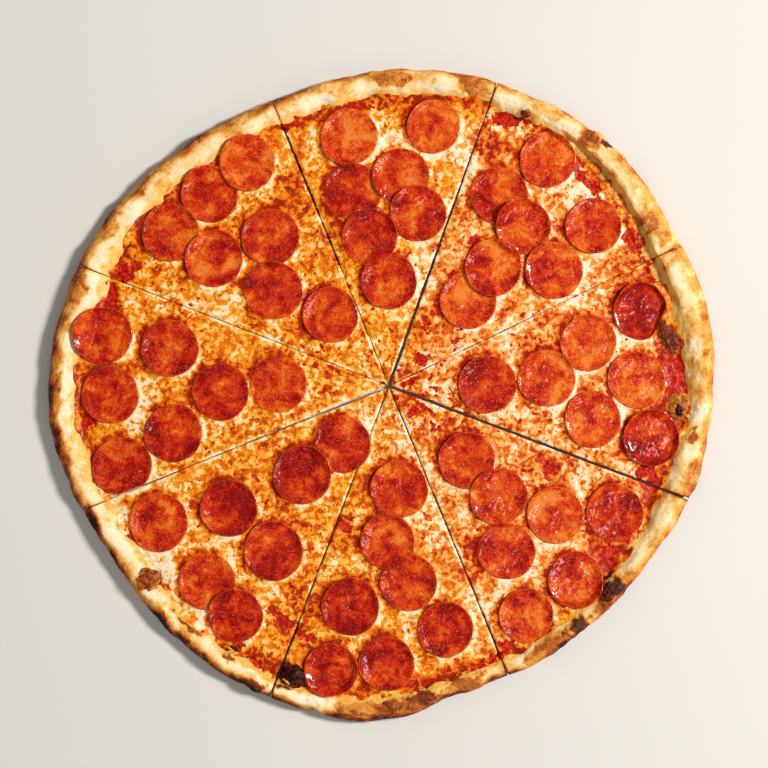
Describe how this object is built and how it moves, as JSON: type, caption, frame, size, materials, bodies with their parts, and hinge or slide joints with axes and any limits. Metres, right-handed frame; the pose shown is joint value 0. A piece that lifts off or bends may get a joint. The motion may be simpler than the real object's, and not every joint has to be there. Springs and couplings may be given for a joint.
{
  "type": "pepperoni pizza",
  "caption": "Whole round thin-crust pizza with raised browned rim, tomato sauce, melted cheese and pepperoni rounds, cut into wedge slices.",
  "frame": {"origin": "on the table under the middle of the pizza's bounding box", "axes": "+Z up, away from the table; seen from above, +X points right and +Y points up in the picture"},
  "size_m": [0.4518, 0.4423, 0.0172],
  "materials": {
    "crust": "baked dough: cream to golden brown, with toasted and charred patches, dry and matte",
    "sauce": "moist red tomato sauce",
    "cheese": "melted cheese: pale cream and orange mottling with oily shine",
    "pepperoni": "cured sausage: deep orange red, mottled with fat flecks, oily shine"
  },
  "bodies": {
    "root": {"slice_1_cheese": "cheese", "slice_1_crust": "crust", "slice_1_pepperoni_1": "pepperoni", "slice_1_pepperoni_2": "pepperoni", "slice_1_pepperoni_3": "pepperoni", "slice_1_pepperoni_4": "pepperoni", "slice_1_pepperoni_5": "pepperoni", "slice_1_pepperoni_6": "pepperoni", "slice_1_sauce": "sauce", "slice_2_cheese": "cheese", "slice_2_crust": "crust", "slice_2_pepperoni_1": "pepperoni", "slice_2_pepperoni_2": "pepperoni", "slice_2_pepperoni_3": "pepperoni", "slice_2_sauce": "sauce", "slice_3_cheese": "cheese", "slice_3_crust": "crust", "slice_3_pepperoni_1": "pepperoni", "slice_3_pepperoni_2": "pepperoni", "slice_3_sauce": "sauce", "slice_4_cheese": "cheese", "slice_4_crust": "crust", "slice_4_pepperoni_1": "pepperoni", "slice_4_pepperoni_2": "pepperoni", "slice_4_pepperoni_3": "pepperoni", "slice_4_sauce": "sauce", "slice_5_cheese": "cheese", "slice_5_crust": "crust", "slice_5_pepperoni_1": "pepperoni", "slice_5_pepperoni_2": "pepperoni", "slice_5_pepperoni_3": "pepperoni", "slice_5_pepperoni_4": "pepperoni", "slice_5_pepperoni_5": "pepperoni", "slice_5_pepperoni_6": "pepperoni", "slice_5_pepperoni_7": "pepperoni", "slice_5_sauce": "sauce", "slice_6_cheese": "cheese", "slice_6_crust": "crust", "slice_6_pepperoni_1": "pepperoni", "slice_6_pepperoni_2": "pepperoni", "slice_6_pepperoni_3": "pepperoni", "slice_6_pepperoni_4": "pepperoni", "slice_6_pepperoni_5": "pepperoni", "slice_6_sauce": "sauce", "slice_7_cheese": "cheese", "slice_7_crust": "crust", "slice_7_pepperoni_1": "pepperoni", "slice_7_pepperoni_2": "pepperoni", "slice_7_pepperoni_3": "pepperoni", "slice_7_pepperoni_4": "pepperoni", "slice_7_pepperoni_5": "pepperoni", "slice_7_sauce": "sauce", "slice_8_cheese": "cheese", "slice_8_crust": "crust", "slice_8_pepperoni_1": "pepperoni", "slice_8_pepperoni_2": "pepperoni", "slice_8_pepperoni_3": "pepperoni", "slice_8_pepperoni_4": "pepperoni", "slice_8_pepperoni_5": "pepperoni", "slice_8_sauce": "sauce"}
  },
  "joints": []
}
